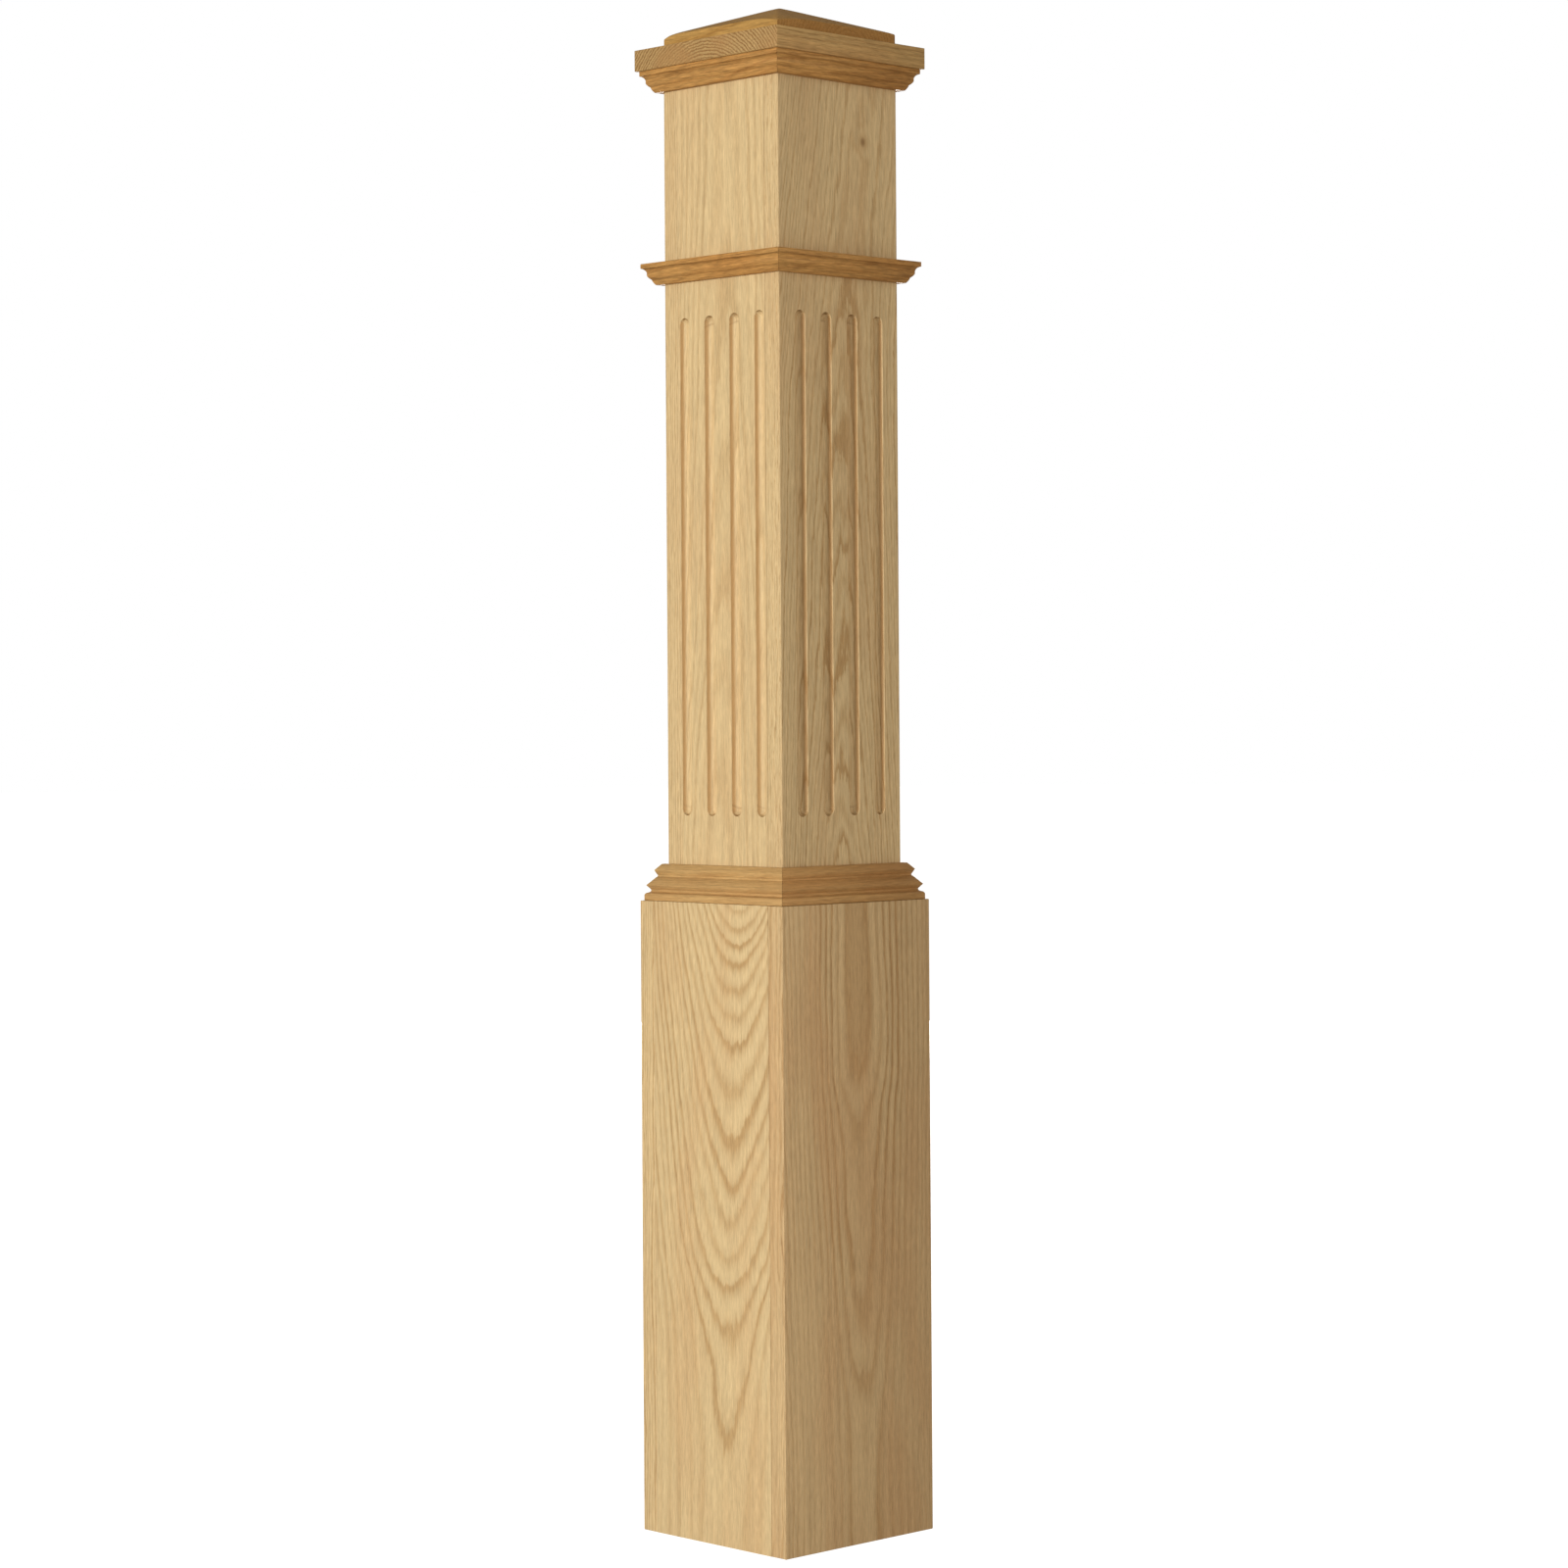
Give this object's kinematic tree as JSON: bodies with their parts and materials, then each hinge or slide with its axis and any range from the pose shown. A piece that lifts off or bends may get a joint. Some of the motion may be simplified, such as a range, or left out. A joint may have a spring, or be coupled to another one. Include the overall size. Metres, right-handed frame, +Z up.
{
  "type": "newel post",
  "caption": "Square hollow oak box newel post with a plain wide base, a fluted upper box, mitred foot, band and crown mouldings and a low hip-roofed cap.",
  "frame": {"origin": "centre of the post's underside, on the floor", "axes": "+Z up along the post, X and Y square to its faces"},
  "size_m": [0.1598, 0.1598, 1.1815],
  "materials": {
    "oak_board": "bare sanded red oak",
    "oak_moulding": "bare sanded red oak, more orange",
    "oak_cap": "bare sanded red oak"
  },
  "bodies": {
    "root": {"lower_right_board": "oak_board", "lower_back_board": "oak_board", "lower_left_board": "oak_board", "lower_front_board": "oak_board", "upper_right_board": "oak_board", "upper_back_board": "oak_board", "upper_left_board": "oak_board", "upper_front_board": "oak_board", "foot_moulding_right": "oak_moulding", "foot_moulding_back": "oak_moulding", "foot_moulding_left": "oak_moulding", "foot_moulding_front": "oak_moulding", "band_moulding_right": "oak_moulding", "band_moulding_back": "oak_moulding", "band_moulding_left": "oak_moulding", "band_moulding_front": "oak_moulding", "crown_moulding_right": "oak_moulding", "crown_moulding_back": "oak_moulding", "crown_moulding_left": "oak_moulding", "crown_moulding_front": "oak_moulding", "cap_plate": "oak_cap", "cap_top": "oak_cap"}
  },
  "joints": []
}
